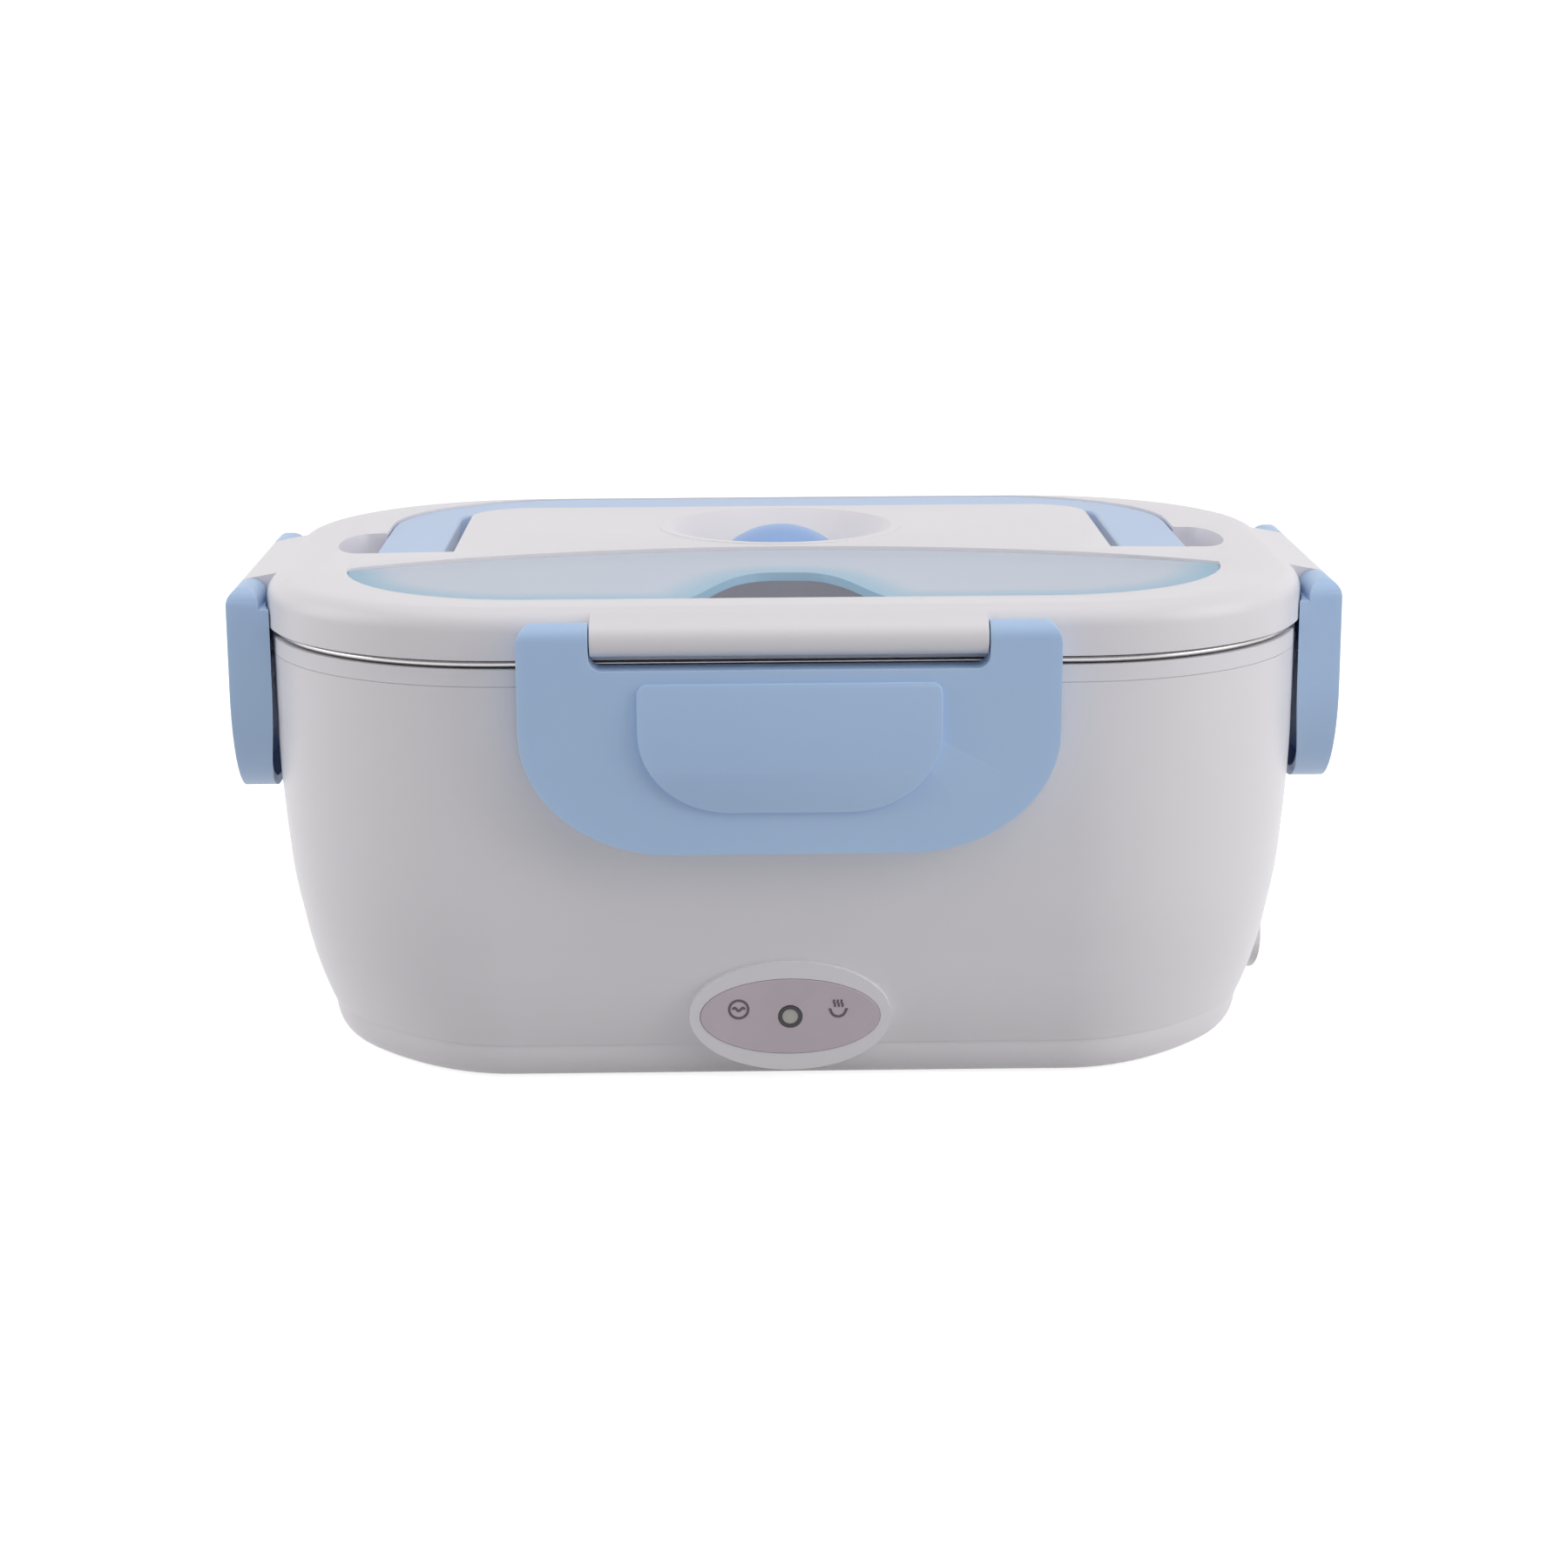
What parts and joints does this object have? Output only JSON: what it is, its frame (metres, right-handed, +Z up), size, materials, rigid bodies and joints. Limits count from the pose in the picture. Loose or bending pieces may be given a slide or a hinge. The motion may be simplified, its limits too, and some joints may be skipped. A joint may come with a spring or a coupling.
{
  "type": "electric lunch box",
  "caption": "Portable electric lunch box: heated body with display and power inlet, lift-out steel container, and a latched lid with carry handle, covered compartment and steam vent.",
  "frame": {"origin": "on the table, under the middle of the body", "axes": "+Z up, front with the display faces -Y, +X to the right, towards the power inlet"},
  "size_m": [0.2314, 0.1684, 0.1],
  "materials": {
    "white_shell": "gloss",
    "white_inner": "satin",
    "blue_plastic": "satin",
    "clear_blue": "translucent",
    "dome_blue": "gloss",
    "steel": "brushed",
    "aluminium": "satin",
    "ceramic": "matte",
    "rubber": "matte",
    "silicone": "satin",
    "panel_grey": "satin",
    "black": "gloss",
    "lens": "frosted",
    "board": "satin",
    "wire": "satin"
  },
  "bodies": {
    "housing": {"outer_shell": "white_shell", "heating_well": "white_inner", "base_cover": "white_shell", "feet": "rubber", "base_screws": "steel", "heater_plate": "aluminium", "ptc_heater": "ceramic", "heater_bracket": "steel", "bracket_screws": "steel", "thermostat": "black", "thermal_fuse": "ceramic", "inlet_housing": "white_inner", "inlet_pins": "steel", "display_panel": "panel_grey", "indicator_lens": "lens", "indicator_ring": "black", "indicator_board": "board", "wiring": "wire"},
    "container": {"steel_container": "steel"},
    "lid": {"lid_shell": "white_shell", "lid_liner": "white_inner", "seal_ring": "silicone"},
    "front_latch": {"front_latch": "blue_plastic"},
    "rear_latch": {"rear_latch": "blue_plastic"},
    "left_latch": {"left_latch": "blue_plastic"},
    "right_latch": {"right_latch": "blue_plastic"},
    "handle": {"carry_handle": "blue_plastic"},
    "cover": {"compartment_cover": "clear_blue"},
    "vent": {"vent_plug": "dome_blue"}
  },
  "joints": [
    {"name": "container_lift", "type": "slide", "parent": "housing", "child": "container", "axis": [0, 0, 1], "range_m": [0, 0.075]},
    {"name": "lid_lift", "type": "slide", "parent": "container", "child": "lid", "axis": [0, 0, 1], "range_m": [0, 0.05]},
    {"name": "front_latch_hinge", "type": "hinge", "parent": "lid", "child": "front_latch", "pos_m": [0, -0.0791, 0.094], "axis": [-1, 0, 0], "range_deg": [0, 110]},
    {"name": "rear_latch_hinge", "type": "hinge", "parent": "lid", "child": "rear_latch", "pos_m": [0, 0.0791, 0.094], "axis": [1, 0, 0], "range_deg": [0, 110]},
    {"name": "left_latch_hinge", "type": "hinge", "parent": "lid", "child": "left_latch", "pos_m": [-0.1106, 0, 0.094], "axis": [0, 1, 0], "range_deg": [0, 110]},
    {"name": "right_latch_hinge", "type": "hinge", "parent": "lid", "child": "right_latch", "pos_m": [0.1106, 0, 0.094], "axis": [0, -1, 0], "range_deg": [0, 110]},
    {"name": "handle_hinge", "type": "hinge", "parent": "lid", "child": "handle", "pos_m": [0, -0.005, 0.096], "axis": [1, 0, 0], "range_deg": [0, 90]},
    {"name": "cover_lift", "type": "slide", "parent": "lid", "child": "cover", "axis": [0, 0, 1], "range_m": [0, 0.03]},
    {"name": "vent_pull", "type": "slide", "parent": "lid", "child": "vent", "axis": [0, 0, 1], "range_m": [0, 0.008]}
  ]
}
